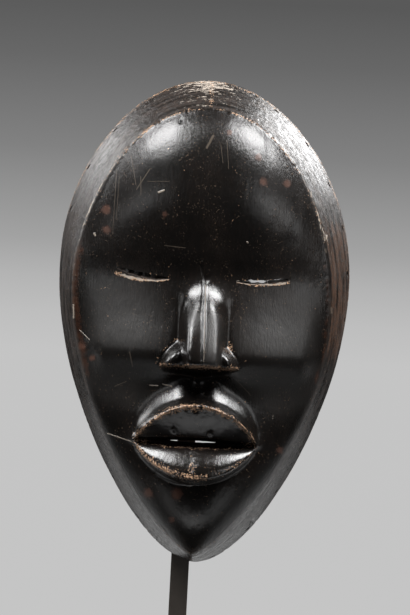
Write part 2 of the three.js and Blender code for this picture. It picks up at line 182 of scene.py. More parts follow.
def lips(x, y):
    upper = carving["upperLip"] * lerp(0.2, 1, mouthArch(x, 0.45))
    lower = carving["lowerLip"] * lerp(0.2, 1, mouthArch(x, 0.6))
    inner = 0.3 * lower
    top, bottom, gap = upperEdge(x), lowerEdge(x), gapHalf(x)
    if abs(x) > mouthHalf or y > top or y < bottom:
        beside = max(abs(x) - mouthHalf, 0.0)
        away = math.hypot(beside, max(y - top, 0.0) if y > mouthLine else max(bottom - y, 0.0))
        side = ease(-lipUndercut, lipUndercut, y - mouthLine)
        flank = lipFlank * lerp(0.6, 1, mouthArch(x, 0.75))
        above = lerp(max(1 - away / lipRoll, 0.0) ** 1.3, max(1 - away / flank, 0.0) ** 1.6, 0.57)
        return lerp(lower * max(1 - away / lipUndercut, 0.0), upper * above, side)
    if y > mouthLine + gap:
        return lerp(inner, upper, share(mouthLine + gap, top, y) ** 0.85)
    if y < mouthLine - gap:
        return lerp(inner, lower, 1 - share(bottom, mouthLine - gap, y) ** 1.8)
    floor = lerp(inner, -carving["mouthDepth"], mouthArch(x, 0.5))
    return lerp(floor, inner, abs(y - mouthLine) / gap if gap > 0 else 1.0)


def underNose(x):
    return noseBase - noseFall * lerp(0.3, 1, max(1 - (x / noseHalf) ** 2, 0.0))


def nose(x, y):
    up = max(y - noseBase, 0.0)
    t = up / (eyeLine - noseBase)
    if t > 1.14:
        return 0.0
    full = ridgeProfile(t)
    across = abs(x - carving["ridgeShift"]) / (ridgeHalf(t) * halfWidth)
    squareness = lerp(carving["ridgeSquareness"], carving["bridgeSquareness"], ease(0.3, 0.9, t))
    roof = carving["nose"] * full * math.exp(-0.7 * across ** squareness)
    lobeY = up / nostrilHalf - 0.3
    lobeX = (abs(x) - nostrilMiddle) / nostrilHalf + 0.4 * lobeY
    lobe = carving["nostril"] * (1 - (lobeX ** 2 + (lobeY / 1.4) ** 2) ** 1.5)
    return roundedMax(roof, lobe, carving["lobeBlend"] * full) * share(underNose(x), noseBase, y)


def faceDepth(x, y):
    half = max(eggHalf(creaseEgg, y), 1e-6)
    out = min(abs(x - creaseMiddle(y)) / half, 1.0)
    dome = lerp(creaseDepth(y), middleDepth(y), 1 - out ** 2.4)
    inside = 1 - ease(0.8, 1, out)
    beside = ease(0.1, 0.27, abs(x) / halfWidth)
    fromLedge = (math.hypot(y - cheekLedge, 2.0) - 2.0) / height
    above = math.exp(-fromLedge / 0.1)
    below = math.exp(-(fromLedge / 0.045) ** 2)
    cheekbone = carving["cheekbone"] * (above if y > cheekLedge else below)
    socket = carving["eyeHollow"] * math.exp(-((y - eyeLine) / (0.06 * height)) ** 2)
    cheek = carving["cheekHollow"] * math.exp(-((y - 0.36 * height) / (0.055 * height)) ** 2)
    groove = math.exp(-(x / (0.04 * halfWidth)) ** 2) * ease(upperEdge(0) - 2, upperEdge(0) + 4, y)
    philtrum = carving["philtrum"] * groove * (1 - ease(noseBase - 2 * noseFall, noseBase - noseFall, y))
    return dome + inside * beside * (cheekbone - socket - cheek) + lips(x, y) + nose(x, y) - philtrum


def hollowDepth(out, y):
    return (middleDepth(y) - carving["wall"]) * (1 - out ** 3) ** (1 / 3)


def closeTo(least, line):
    # follows a line of the lips, but stays at least half of this from the mouth's line
    def at(x):
        offset = line(x) - mouthLine
        return mouthLine + (min(offset, least * 0.5) if least < 0 else max(offset, least * 0.5))
    return at


crownCorner = eggHeight(creaseEgg, 0.52 * halfWidth, True)
chinCorner = eggHeight(creaseEgg, 0.2 * halfWidth, False)
# rows of the face's grid: height at the crease, steps that lead up to it, and the line it follows
rowPlan = [
    (chinCorner, 0, None),
    (0.144 * height, 30, closeTo(-6.3, lambda x: lowerEdge(x) - lipUndercut - 0.15)),
    (0.145 * height, 1, closeTo(-6, lambda x: lowerEdge(x) - lipUndercut)),
    (0.146 * height, 1, closeTo(-5.8, lambda x: lowerEdge(x) - lipUndercut + 0.1)),
    (0.172 * height, 4, closeTo(-5, lowerEdge)),
    (0.228 * height, 18, closeTo(-1, lambda x: mouthLine - gapHalf(x))),
    (mouthLine, 4, lambda x: mouthLine),
    (0.27 * height, 4, closeTo(1, lambda x: mouthLine + gapHalf(x))),
    (0.325 * height, 18, closeTo(4, upperEdge)),
    (noseBase - noseFall, 16, underNose),
    (noseBase, 7, lambda x: noseBase),
    (eyeLine, 46, lambda x: eyeLine),
    (crownCorner, 70, None),
]
gridRows = [(1, 0.0)]
for k, (_, steps, _) in enumerate(rowPlan):
    gridRows += [(k, (i + 1) / steps) for i in range(steps)]
columns, rowCount = carving["columns"], len(gridRows) - 1


def creaseHeight(row):
    return lerp(rowPlan[row[0] - 1][0], rowPlan[row[0]][0], row[1])


def columnPlace(i):
    s = 2 * i / columns - 1
    return lerp(s, s ** 3, carving["columnCrowding"])


def arcHeights(egg, corner, towardsCrown):
    half = eggHalf(egg, corner)
    return [eggHeight(egg, abs(columnPlace(i)) * half, towardsCrown) for i in range(columns + 1)]


chinArc, crownArc = arcHeights(creaseEgg, chinCorner, False), arcHeights(creaseEgg, crownCorner, True)


def facePlace(i, j):
    k, part = gridRows[j]
    s = columnPlace(i)
    x = s * eggHalf(creaseEgg, creaseHeight(gridRows[j]))
    fade = ease(0.6, 1, abs(s))

    def lineAt(n):
        if n == 0:
            return chinArc[i]
        if n == len(rowPlan) - 1:
            return crownArc[i]
        return lerp(rowPlan[n][2](x), rowPlan[n][0], fade)
    y = lerp(lineAt(k - 1), lineAt(k), part)
    return x + creaseMiddle(y), y


def loopOn(egg, middleAt):
    # the grid's border as places on one egg: along the chin, up one side, along the crown and down
    def heightAt(y):
        return lerp(egg["low"], egg["high"], creaseShare(y))

    def arc(i, corner, heights):
        return columnPlace(i) * eggHalf(egg, heightAt(corner)) + middleAt(heights[i]), heights[i]

    def side(j, sign):
        y = heightAt(creaseHeight(gridRows[j]))
        return sign * eggHalf(egg, y) + middleAt(y), y
    low, high = arcHeights(egg, heightAt(chinCorner), False), arcHeights(egg, heightAt(crownCorner), True)
    return ([arc(i, chinCorner, low) for i in range(columns)] + [side(j, 1) for j in range(rowCount)]
            + [arc(i, crownCorner, high) for i in range(columns, 0, -1)]
            + [side(j, -1) for j in range(rowCount, 0, -1)])


def station(i, j):
    # place of a vertex of the grid's edge along that loop, or -1 inside the grid
    if j == 0 and i < columns:
        return i
    if i == columns and j < rowCount:
        return columns + j
    if j == rowCount and i > 0:
        return columns + rowCount + columns - i
    return 2 * columns + rowCount + rowCount - j if i == 0 else -1


def toWorld(x, y, depth):
    return Vector(((x + carving["toRight"]) * mm, -(depth + carving["rimPlane"]) * mm,
                   (y + carving["chinHeight"]) * mm))


def toMask(co):
    return (co.x / mm - carving["toRight"], co.z / mm - carving["chinHeight"],
            -co.y / mm - carving["rimPlane"])


def hump(value, width):
    return math.exp(-(value / width) ** 2)


def grainAt(x, y, depth, across, along):
    return noise.noise(Vector((x / across, y / along, depth / across)))


def waves(x, y, depth, wave):
    across, along, high = wave
    return grainAt(x, y, depth, across, along) * high


def fromLine(x, y, line):
    # distance to a straight mark, in mm
    ax, ay, bx, by = line[:4]
    squared = (bx - ax) ** 2 + (by - ay) ** 2
    t = min(max(((x - ax) * (bx - ax) + (y - ay) * (by - ay)) / squared, 0.0), 1.0)
    return math.hypot(x - lerp(ax, bx, t), y - lerp(ay, by, t))


def wingLevel(x, y):
    # 1 on the outline of either wing of the nose, less inside it
    lobeY = (y - noseBase) / nostrilHalf - 0.3
    lobeX = (abs(x) - nostrilMiddle) / nostrilHalf + 0.4 * lobeY
    return math.hypot(lobeX, lobeY / 1.4) if y > noseBase else 3.0


def slitMiddle(x):
    # height of an eye slit's middle line, which sags a little and rises outwards
    t = share(eyeInner, eyeOuter, abs(x))
    return eyeLine + height * (0.006 * t - 0.0035 * math.sin(math.pi * t))


def slitArch(t):
    # half height of a slit along its length, as a share
    return max(math.sin(math.pi * t), 0.1) ** 0.5


# the knife's work: size of the noise across and along the grain, and its height, in mm
knife = {"facets": (16, 20, 0.22), "ripples": (5, 8, 0.07), "fibres": (0.9, 11, 0.04),
         "adze": (9, 12, 0.35), "adzeRipples": (3, 5, 0.12), "sunk": 0.3}
# marks of use, in mm: pits by place, radius and depth, lines by both ends, half width and rise,
# and stained spots and worn places of the border by place and radius
marks = {
    "pits": [(-10.8, 65.2, 1.0, 0.9), (7.2, 64.1, 1.1, 0.9), (-15.4, 219.1, 0.7, 0.8),
             (1.4, 141.4, 1.3, 0.8), (-1.0, 79.5, 1.8, 0.9), (-0.6, 76.2, 1.2, 0.6),
             (-57.5, 106, 1.8, 0.7), (-52.5, 99.5, 1.4, 0.6)],
    "lines": [(2.2, 100, 1.1, 138.5, 0.42, 0.34), (1.1, 100, 0.1, 139, 0.45, -0.3),
              (-34.7, 102.8, -32.9, 96, 0.6, 0.4), (1.2, 139, -1.6, 147, 0.55, -0.45),
              (1.2, 139, 3.6, 142.5, 0.5, -0.35), (-56.6, 98, -50.6, 104, 1.2, -0.5)],
    "spots": [(27, 190.4, 2.4), (39, 190.5, 2.2), (-49.9, 172.9, 2.6), (-49.3, 162.9, 2.2),
              (-22.1, 33.7, 3.0), (-7.7, 34, 3.3), (-9.5, 20.9, 1.8), (42.4, 58, 2.2), (-58.8, 105.1, 2.4),
              (23.9, 202.6, 2.4), (9, 214, 1.6), (-21, 172, 1.8), (-53, 99, 1.8)],
    "wornBorder": [(-21, 9, 9), (31, 22, 3), (16, 6, 3)],
}


def carveMarks(x, y, depth, onBorder):
    # what the knife and years of use have left, in mm along the surface's own normal
    rough = waves(x, y, depth, knife["facets"]) + waves(x, y, depth, knife["ripples"]) - knife["sunk"]
    rough += waves(x + 50, y, depth, knife["fibres"])
    chipNoise = grainAt(x, y + 90, depth, 1.6, 1.6) + 0.6 * grainAt(x, y, depth + 70, 0.8, 0.9)
    chipped = max(chipNoise - 0.1, 0.0)
    if onBorder:
        crown = ease(196, 216, y)
        flaked = max(grainAt(x / 3, y, depth, 0.9, 0.9) + 0.15, 0.0)
        rough -= crown * (0.16 * flaked + 0.5 * max(chipNoise - 0.35, 0.0))
        rough -= chipped * hump(depth, 1.8) * (0.25 + ease(175, 200, y)) * 0.9
        worn = sum(hump(math.hypot(x - wx, y - wy), radius) for wx, wy, radius in marks["wornBorder"])
        rough -= chipped * worn * 1.3
        return rough
    out = min(abs(x - creaseMiddle(y)) / max(eggHalf(creaseEgg, y), 1e-6), 1.0)
    if abs(x) < mouthHalf + 1 and abs(y - mouthLine) < lipHeight + 3:
        rough -= chipped * 0.9 * hump(y - upperEdge(x) + 0.8, 1.6)
        rough -= chipped * (1.0 if x < 8 else 0.2) * hump(y - lowerEdge(x) - 0.8, 1.7)
        inLowerLip = ease(lowerEdge(x), lowerEdge(x) + 3, y) * (1 - ease(mouthLine - 5, mouthLine - 2, y))
        rough -= inLowerLip * hump(x + 1, 2.0) * (0.12 + 0.3 * chipNoise)
    if noseBase - 3 < y < noseBase + 24 and abs(x) < 26:
        level = wingLevel(x, y)
        side = ease(nostrilMiddle - 3, nostrilMiddle + 5, abs(x)) * (1.0 if x < 0 else 0.4)
        rough += side * (0.2 * hump(level - 1.28, 0.09) - 0.35 * hump(level - 1.1, 0.13))
        rough -= chipped * 0.8 * hump(y - noseBase, 1.2) * (1 if abs(x) < noseHalf else 0)
    crease = (1 - out) * eggHalf(creaseEgg, y)
    rough -= chipped * hump(crease, 1.5) * (0.8 if y > 195 else 0.35)
    rough += 0.25 * hump(crease - 0.5, 0.6) * ease(110, 150, y)
    for px, py, radius, deep in marks["pits"]:
        rough -= deep * hump(math.hypot(x - px, y - py), radius)
    for line in marks["lines"]:
        rough += line[5] * hump(fromLine(x, y, line), line[4])
    return rough


def deselectAll():
    if bpy.context.mode != "OBJECT":
        bpy.ops.object.mode_set(mode="OBJECT")
    bpy.ops.object.select_all(action="DESELECT")


def pickOnly(thing):
    deselectAll()
    thing.select_set(True)
    bpy.context.view_layer.objects.active = thing


def applyModifier(thing, kind, **values):
    pickOnly(thing)
    modifier = thing.modifiers.new(kind.title(), kind)
    for key, value in values.items():
        setattr(modifier, key, value)
    bpy.ops.object.modifier_apply(modifier=modifier.name)


def applyPlace(thing):
    pickOnly(thing)
    bpy.ops.object.transform_apply(location=True, rotation=True, scale=True)


def combine(thing, other, **values):
    # joins another solid to a thing, or cuts it away, and uses it up
    applyModifier(thing, "BOOLEAN", object=other, **values)
    bpy.data.objects.remove(other)


def faceOutwards():
    bpy.ops.mesh.select_all(action="SELECT")
    bpy.ops.mesh.normals_make_consistent(inside=False)


# shaders: a socket with operators, and below it one method for every other node
class Link:
    def __init__(self, finish, socket):
        self.finish, self.socket = finish, socket

    def __add__(self, other):
        return self.finish.maths("ADD", self, other)

    def __sub__(self, other):
        return self.finish.maths("SUBTRACT", self, other)

    def __rsub__(self, other):
        return self.finish.maths("SUBTRACT", other, self)

    def __mul__(self, other):
        return self.finish.maths("MULTIPLY", self, other)

    __radd__, __rmul__ = __add__, __mul__


class Finish:
    def __init__(self, owner):
        # the owner is a new material or world
        owner.use_nodes = True
        self.owner, self.tree = owner, owner.node_tree
        self.tree.nodes.clear()
        self.place = self.node("ShaderNodeTexCoord", out="Object")

    def node(self, kind, settings=None, sockets=None, out=0):
        made = self.tree.nodes.new(kind)
        for key, value in (settings or {}).items():
            if key == "stops":
                ramp = made.color_ramp
                while len(ramp.elements) < len(value):
                    ramp.elements.new(0.5)
                for element, (position, colour) in zip(ramp.elements, value):
                    element.position, element.color = position, (*colour, 1)
            else:
                setattr(made, key, value)
        for key, value in (sockets or {}).items():
            if isinstance(value, Link):
                self.tree.links.new(value.socket, made.inputs[key])
            else:
                made.inputs[key].default_value = value
        return Link(self, made.outputs[out]) if len(made.outputs) else None

    def cloud(self, size, detail=3.0, stretch=(1, 1, 1), roughness=0.55):
        # soft noise with patches about this many mm across, stretched along X, Y or Z
        scale = [1 / (size * mm * part) for part in stretch]
        placed = self.node("ShaderNodeMapping", {}, {"Vector": self.place, "Scale": scale})
        return self.node("ShaderNodeTexNoise", {}, {"Vector": placed, "Scale": 1.0, "Detail": detail,
                                                    "Roughness": roughness})

    def aroundFace(self, across, along):
        # noise whose streaks run round the mask's border, about so many mm across and along
        split = [self.node("ShaderNodeSeparateXYZ", {}, {0: self.place}, out=axis) for axis in range(3)]
        middleHeight = (carving["chinHeight"] + height / 2) * mm
        turn = self.maths("ARCTAN2", split[0] - carving["toRight"] * mm, split[2] - middleHeight)
        flow = self.node("ShaderNodeCombineXYZ", {}, {0: turn * (carving["meanRadius"] / along),
                                                      1: split[1] * (1 / (across * mm))})
        return self.node("ShaderNodeTexNoise", {}, {"Vector": flow, "Scale": 1.0, "Detail": 4.0})

    def lines(self, marked, ragged):
        # 1 on thin straight marks, with ragged edges
        flat = self.vector("MULTIPLY", self.place, (1, 0, 1))
        whole = None
        for ax, ay, bx, by, width in marked:
            start, end = toWorld(ax, ay, 0), toWorld(bx, by, 0)
            start.y = end.y = 0
            way = end - start
            blur = 1.6 * width * mm
            away = self.vector("SUBTRACT", flat, start)
            part = self.vector("DOT_PRODUCT", away, way / way.length_squared, out="Value")
            part = self.node("ShaderNodeClamp", {}, {0: part})
            along = self.node("ShaderNodeVectorMath", {"operation": "SCALE"}, {0: way, "Scale": part})
            apart = self.vector("DISTANCE", away, along, out="Value")
            near = self.step(blur, 0.5 * width * mm, apart + (ragged - 0.5) * blur)
            whole = near if whole is None else self.maths("MAXIMUM", whole, near)
        return whole

    def maths(self, operation, a, b):
        return self.node("ShaderNodeMath", {"operation": operation}, {0: a, 1: b})

    def vector(self, operation, a, b, out=0):
        return self.node("ShaderNodeVectorMath", {"operation": operation}, {0: a, 1: b}, out)

    def step(self, low, high, value):
        return self.node("ShaderNodeMapRange", {"interpolation_type": "SMOOTHSTEP"},
                         {"Value": value, "From Min": low, "From Max": high})

    def mix(self, factor, a, b):
        colours = {}
        for key, value in ((6, a), (7, b)):
            colours[key] = value if isinstance(value, Link) else (*value, 1)
        return self.node("ShaderNodeMix", {"data_type": "RGBA"}, {0: factor, **colours}, out=2)

    def painted(self, name):
        return self.node("ShaderNodeAttribute", {"attribute_name": name}, out="Fac")

    def bump(self, heightMap, distance, under=None):
        sockets = {"Height": heightMap, "Distance": distance, "Strength": 1.0}
        if under:
            sockets["Normal"] = under
        return self.node("ShaderNodeBump", {}, sockets)

    def surface(self, **sockets):
        named = {key.replace("_", " "): value for key, value in sockets.items()}
        shader = self.node("ShaderNodeBsdfPrincipled", {}, named)
        self.node("ShaderNodeOutputMaterial", {}, {"Surface": shader})
        return self.owner


# the object leans 3 degrees in the picture. Distances are in m, the lens and the aim in mm
camera = {"distance": 8.0, "lens": 940.0, "roll": 3.0, "aim": (5.8, 221.9), "farthest": 60}
deselectAll()
bpy.ops.object.camera_add()
eye = bpy.context.object
eye.name = "photoCamera"
eye.data.lens = camera["lens"]
eye.data.clip_end = camera["farthest"]
(aimX, aimZ), back = camera["aim"], camera["distance"] + carving["rimPlane"] * mm
eye.matrix_world = (Matrix.Translation((aimX * mm, -back, aimZ * mm))
                    @ Matrix.Rotation(math.radians(90), 4, "X")
                    @ Matrix.Rotation(math.radians(camera["roll"]), 4, "Z"))
bpy.context.scene.camera = eye
bpy.context.scene.view_settings.view_transform = "Standard"
print("camera set")


# straight marks painted on the patina, in the mask's own mm: both ends and half width. Most are scratches;
# the pale line from (2.2, 100) is a painted highlight and the dark line from (1.1, 101) a painted shade,
# along the nose's ridge line
paintedLines = {
    "pale": [(-24.5, 182.6, -22, 183.6, 0.4), (-23.9, 87, -20, 86.9, 0.25), (-17.5, 87.8, -13, 87.1, 0.22),
             (-43.6, 62, -31.4, 58.6, 0.22), (2.2, 100, 1.1, 138, 0.1), (-63.8, 124.8, -63.4, 118.3, 0.3),
             (-60.1, 112.5, -54.9, 107.8, 0.16), (59.8, 165.6, 59.7, 163.9, 0.35),
             (-55.3, 160.6, -54.8, 159.6, 0.4), (-19.5, 12.5, -13.5, 4.6, 0.2),
             (20.5, 160.4, 20.9, 160, 0.3)],
    "faint": [(-45.9, 193, -46.2, 160.6, 0.12), (-44.4, 190, -44.8, 168, 0.1),
              (-30.2, 187.8, -19.3, 188.4, 0.1), (-35.5, 183.6, -29.5, 193.9, 0.22),
              (-33.8, 190, -33.2, 181, 0.16), (-1.8, 206, 1, 212, 0.5),
              (-41.3, 85.6, -35.5, 88.3, 0.16), (-34.7, 102.8, -32.9, 96, 0.3), (8, 210, 9.5, 196, 0.1),
              (5, 208, 6.5, 199, 0.1), (-39, 200, -36, 186, 0.14), (-20.1, 156.5, -10.1, 155.9, 0.2),
              (59.5, 158.9, 60, 157.4, 0.4), (64, 130, 64.2, 127.6, 0.4), (18.6, 92, 26.4, 84.6, 0.12)],
    "dark": [(26.8, 213, 27.4, 206, 0.3), (-15.3, 220.6, -15.6, 217.6, 0.5), (1.1, 101, 0.1, 140, 0.4),
             (-44, 176, -43, 150, 0.15), (34.9, 24.6, 36.5, 26.2, 0.5), (18.2, 8.8, 20, 10, 0.5),
             (-20.5, 15, -12.5, 5.6, 0.3)],
}
# tones of the patina on the face and on the border, and of what is worn or marked. The flake tone also
# paints a highlight along the upper crease, and the pale and dark mark tones also paint a highlight and a
# shade along the nose's ridge line
patina = {
    "black": (0.004, 0.0036, 0.0033), "brownBlack": (0.0085, 0.0064, 0.0054), "grain": (0.013, 0.009, 0.007),
    "dull": (0.02, 0.0182, 0.017), "rust": (0.04, 0.017, 0.010), "fleck": (0.12, 0.085, 0.06),
    "borderDark": (0.007, 0.0058, 0.005), "borderLight": (0.034, 0.025, 0.021),
    "borderGrain": (0.008, 0.006, 0.005), "borderRust": (0.06, 0.032, 0.02),
    "borderMottle": (0.0045, 0.0038, 0.0034), "borderFleck": (0.2, 0.15, 0.11),
    "spot": (0.085, 0.042, 0.03), "chipDark": (0.035, 0.017, 0.010), "chipLight": (0.5, 0.31, 0.19),
    "flakeAndHighlight": (0.36, 0.31, 0.26), "faintMark": (0.17, 0.135, 0.105), "paleMarkAndHighlight": (0.36, 0.3, 0.24),
    "darkMarkAndShade": (0.002, 0.0015, 0.0015),
}


def patinatedWood():
    f = Finish(bpy.data.materials.new("patinatedWood"))
    wear, spots, band, polish, rust, dull, pale = (
        f.painted(name) for name in ("wear", "spots", "band", "polish", "rust", "dull", "pale"))
    grain, hatch = f.cloud(0.8, 4.0, (1, 1, 14)), f.cloud(0.35, 2.0, (1, 1, 10))
    patches, blotches, speckle = f.cloud(22, 4.0, (1, 1, 1.6)), f.cloud(5, 3.0), f.cloud(0.8, 2.0)
    fleck = f.step(0.66, 0.73, f.cloud(0.9, 1.0)) * f.step(0.44, 0.6, f.cloud(9, 2.0))
    streaks, fineStreaks = f.aroundFace(3.2, 22), f.aroundFace(0.8, 10)
    palest, faint, darkest = (f.lines(paintedLines[name], speckle) for name in ("pale", "faint", "dark"))
    grit, mottles = f.cloud(0.55, 2.0), f.cloud(2.6, 4.0)
    chips = f.step(0.5, 0.6, wear + (blotches - 0.5) * 0.9 + (speckle - 0.5) * 2.0)
    # pale flakes, and the painted highlight along the upper crease that the pale attribute holds
    paleFlakesAndHighlight = f.step(0.5, 0.62, pale + (fineStreaks - 0.5) * 1.7 + (mottles - 0.5) * 1.2)
    rusty = f.step(0.5, 0.85, rust + (blotches - 0.5) * 0.9 + (speckle - 0.5) * 0.5)
    rustyBorder = f.step(0.6, 1.0, rust + (streaks - 0.5) * 1.2 + (fineStreaks - 0.5) * 0.6)
    spotted = f.step(0.2, 1.0, spots + (blotches - 0.5) * 0.9 + (speckle - 0.5) * 0.7)
    dark = f.mix(f.step(0.35, 0.75, patches), patina["black"], patina["brownBlack"])
    dark = f.mix(f.step(0.5, 0.72, grain) * 0.35, dark, patina["grain"])
    dark = f.mix(dull * 0.6, dark, patina["dull"])
    dark = f.mix(rusty * 0.75, dark, patina["rust"])
    dark = f.mix(fleck * 0.5, dark, patina["fleck"])
    bandTone = f.mix(f.step(0.36, 0.62, streaks), patina["borderDark"], patina["borderLight"])
    bandTone = f.mix(f.step(0.42, 0.62, fineStreaks) * 0.7, bandTone, patina["borderGrain"])
    bandTone = f.mix(rustyBorder, bandTone, patina["borderRust"])
    bandTone = f.mix(f.step(0.5, 0.6, mottles + pale * 0.3) * 0.6, bandTone, patina["borderMottle"])
    bandTone = f.mix(fleck * 0.6, bandTone, patina["borderFleck"])
    tone = f.mix(band, dark, bandTone)
    tone = f.mix(spotted * 0.72, tone, patina["spot"])
    tone = f.mix(chips, tone, f.mix(f.step(0.4, 0.58, grit), patina["chipDark"], patina["chipLight"]))
    tone = f.mix(paleFlakesAndHighlight * 0.75, tone, patina["flakeAndHighlight"])
    tone = f.mix(faint * 0.3, tone, patina["faintMark"])
    # the pale and dark lines include a painted highlight and a painted shade along the nose's ridge line
    tone = f.mix(palest * 0.6, tone, patina["paleMarkAndHighlight"])
    tone = f.mix(darkest, tone, patina["darkMarkAndShade"])
    rough = 0.25 + (patches - 0.5) * 0.12 + (hatch - 0.5) * 0.12 + chips * 0.3 + palest * 0.2 + paleFlakesAndHighlight * 0.2
    rough = rough - polish * 0.09 + dull * 0.22 + band * (0.12 + (streaks - 0.5) * 0.4)
    rough = rough + band * (f.step(0.45, 0.62, mottles) * 0.12)
    relief = grain * (0.5 + dull) + hatch * 0.6 + fineStreaks * band * 1.4 + streaks * band * 1.2
    relief = relief + (mottles - 0.5) * (band * (0.5 + pale * 3)) + palest * 1.2 - darkest * 1.5
    bumps = f.bump(relief, 0.00012, f.bump(blotches, 0.00012))
    return f.surface(Base_Color=tone, Roughness=rough, Normal=bumps, IOR=1.5)


def hollowWood():
    # adzed wood behind the face, dulled by handling
    f = Finish(bpy.data.materials.new("hollowWood"))
    grain, patches, speckle = f.cloud(1.1, 4.0, (1, 1, 12)), f.cloud(18, 4.0), f.cloud(0.7, 2.0)
    tone = f.mix(grain, (0.045, 0.026, 0.016), (0.12, 0.07, 0.042))
    tone = f.mix(f.step(0.4, 0.7, patches) * 0.7, tone, (0.022, 0.014, 0.010))
    return f.surface(Base_Color=tone, Roughness=0.6 + (speckle - 0.5) * 0.2, Normal=f.bump(grain, 0.0002))


def cutWood():
    # walls of the slits and lashing holes
    f = Finish(bpy.data.materials.new("cutWood"))
    grain, speckle = f.cloud(0.8, 4.0, (1, 1, 8)), f.cloud(0.7, 2.0)
    tone = f.mix(grain, (0.008, 0.005, 0.0035), (0.03, 0.017, 0.010))
    return f.surface(Base_Color=tone, Roughness=0.65 + (speckle - 0.5) * 0.3, Normal=f.bump(grain, 0.0002))


def darkSteel():
    f = Finish(bpy.data.materials.new("darkSteel"))
    streaks, patches, grit = f.cloud(1.2, 3.0, (1, 1, 20)), f.cloud(14, 4.0), f.cloud(0.25, 2.0)
    tone = f.mix(f.step(0.35, 0.7, patches), (0.029, 0.023, 0.0185), (0.042, 0.034, 0.027))
    rough = 0.5 + (patches - 0.5) * 0.2 + (streaks - 0.5) * 0.12
    return f.surface(Base_Color=tone, Roughness=rough, Metallic=0.1, Normal=f.bump(grit, 0.00005))


woodFinish, hollowFinish, cutFinish, steelFinish = patinatedWood(), hollowWood(), cutWood(), darkSteel()
print("finishes made")


def carveMask():
    # the face is a grid; the border, the rim and the hollow are rings drawn out from its edge
    deselectAll()
    bpy.ops.mesh.primitive_grid_add(x_subdivisions=columns, y_subdivisions=rowCount, size=2)
    made = bpy.context.object
    made.name = "carvedMask"
    for finish in (woodFinish, hollowFinish):
        made.data.materials.append(finish)
    bpy.ops.object.mode_set(mode="EDIT")
    bm = bmesh.from_edit_mesh(made.data)
    bm.verts.layers.int.new("station")  # place along the grid's edge, or -1 inside it
    bm.verts.layers.int.new("zone")  # 0 on the face, 1 on the border, 2 on the rim and in the hollow
    stations = bm.verts.layers.int["station"]
    for v in bm.verts:
        i, j = round((v.co.x + 1) / 2 * columns), round((v.co.y + 1) / 2 * rowCount)
        v[stations] = station(i, j)
        x, y = facePlace(i, j)
        v.co = toWorld(x, y, creaseDepth(y) if v[stations] >= 0 else faceDepth(x, y))

    crease, rim = loopOn(creaseEgg, creaseMiddle), loopOn(rimEgg, rimMiddle)
    edge = loopOn(hollowEgg, rimMiddle)
    middle = rimMiddle(height / 2), height / 2
    rings = []
    for step in range(1, carving["borderSteps"] + 1):
        back = step / carving["borderSteps"]
        bulge = 4 * back * (1 - back) * carving["borderBulge"]
        ring = []
        for (fromX, fromY), (x, y) in zip(crease, rim):
            stretch = bulge / math.hypot(x - middle[0], y - middle[1])
            ring.append((lerp(fromX, x, back) + (x - middle[0]) * stretch,
                         lerp(fromY, y, back) + (y - middle[1]) * stretch, creaseDepth(fromY) * (1 - back)))
        rings.append((1, ring))
    for part in carving["rimSteps"]:
        ring = [(lerp(a[0], b[0], part), lerp(a[1], b[1], part), 0.0) for a, b in zip(rim, edge)]
        rings.append((2, ring))
    for out in carving["hollowRings"]:
        ring = [(lerp(middle[0], x, out), lerp(middle[1], y, out)) for x, y in edge]
        rings.append((2, [(x, y, hollowDepth(out, y)) for x, y in ring]))

    bpy.ops.mesh.select_mode(type="EDGE")
    bpy.ops.mesh.select_all(action="SELECT")
    bpy.ops.mesh.region_to_loop()
    for zone, ring in rings:
        bpy.ops.mesh.extrude_edges_indiv()
        bm = bmesh.from_edit_mesh(made.data)
        stations, zones = bm.verts.layers.int["station"], bm.verts.layers.int["zone"]
        for v in bm.verts:
            if v.select:
                v.co = toWorld(*ring[v[stations]])
                v[zones] = zone
    bpy.ops.mesh.extrude_edges_indiv()
    bpy.ops.mesh.merge(type="CENTER")
    faceOutwards()
    bm = bmesh.from_edit_mesh(made.data)
    zones = bm.verts.layers.int["zone"]
    for face in bm.faces:
        face.material_index = 1 if min(v[zones] for v in face.verts) == 2 else 0
    bpy.ops.mesh.quads_convert_to_tris()
    bpy.ops.object.mode_set(mode="OBJECT")
    return made


# where the carved face is smoothed, in mm: how far from the crease, and places with their radius
softening = {"crease": 5.0, "mouthCorner": (36, 63, 6), "underNose": (0, 89, 5), "noseSide": (9.5, 5),
             "factor": 0.5, "passes": 12}


